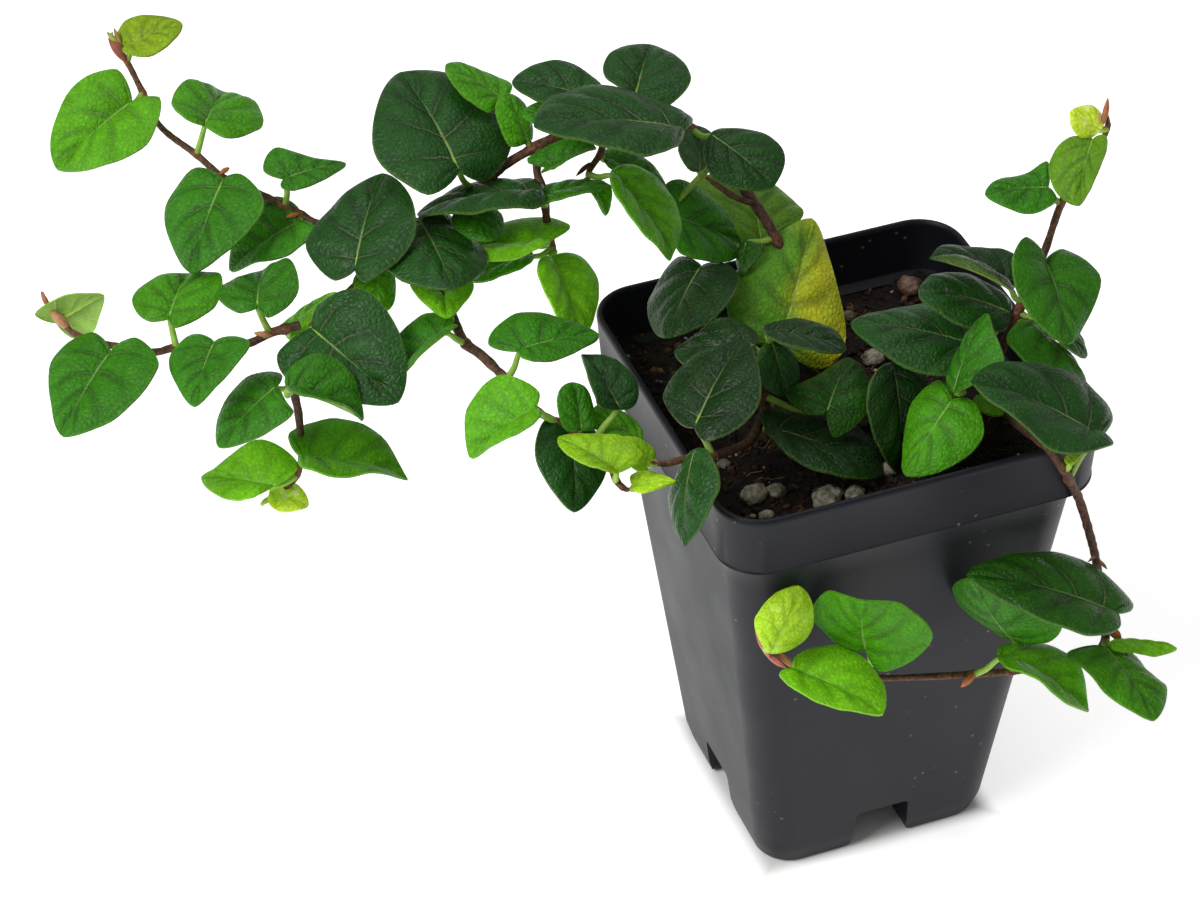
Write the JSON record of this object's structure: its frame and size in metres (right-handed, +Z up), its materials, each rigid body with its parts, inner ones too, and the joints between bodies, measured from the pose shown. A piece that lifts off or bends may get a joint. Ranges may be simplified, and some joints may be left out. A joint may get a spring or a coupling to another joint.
{
  "type": "potted creeping fig plant",
  "caption": "Square tapered nursery pot filled with soil, with leafy creeping fig stems that arch out over its rim and one that trails down its front.",
  "frame": {"origin": "middle of the pot's sole, where it rests on the floor", "axes": "+Z up; the pot's front wall, down which one stem trails, faces -Y; the long leafy vine reaches out towards -X"},
  "size_m": [0.1621, 0.1325, 0.1317],
  "materials": {
    "pot_plastic": "satin injection-moulded polypropylene, charcoal",
    "potting_soil": "moist peat potting mix",
    "perlite": "dusty perlite",
    "bark": "weathered bark chip",
    "dark_leaf": "waxy mature leaf",
    "mid_leaf": "satin young leaf"
  },
  "bodies": {
    "root": {"pot": "pot_plastic", "soil": "potting_soil", "grain_1": "perlite", "grain_2": "perlite", "grain_3": "perlite", "grain_4": "perlite", "grain_5": "perlite", "grain_6": "perlite", "grain_7": "perlite", "grain_8": "perlite", "grain_9": "perlite", "bark_lump": "bark", "vine_main": "dark_leaf", "spray_upper_left": "mid_leaf", "spray_middle_left": "mid_leaf", "spray_lower_left": "mid_leaf", "spray_front_left": "mid_leaf", "tuft_front": "dark_leaf", "tuft_right": "mid_leaf", "shoot_right": "mid_leaf", "trailer_right": "mid_leaf"}
  },
  "joints": []
}
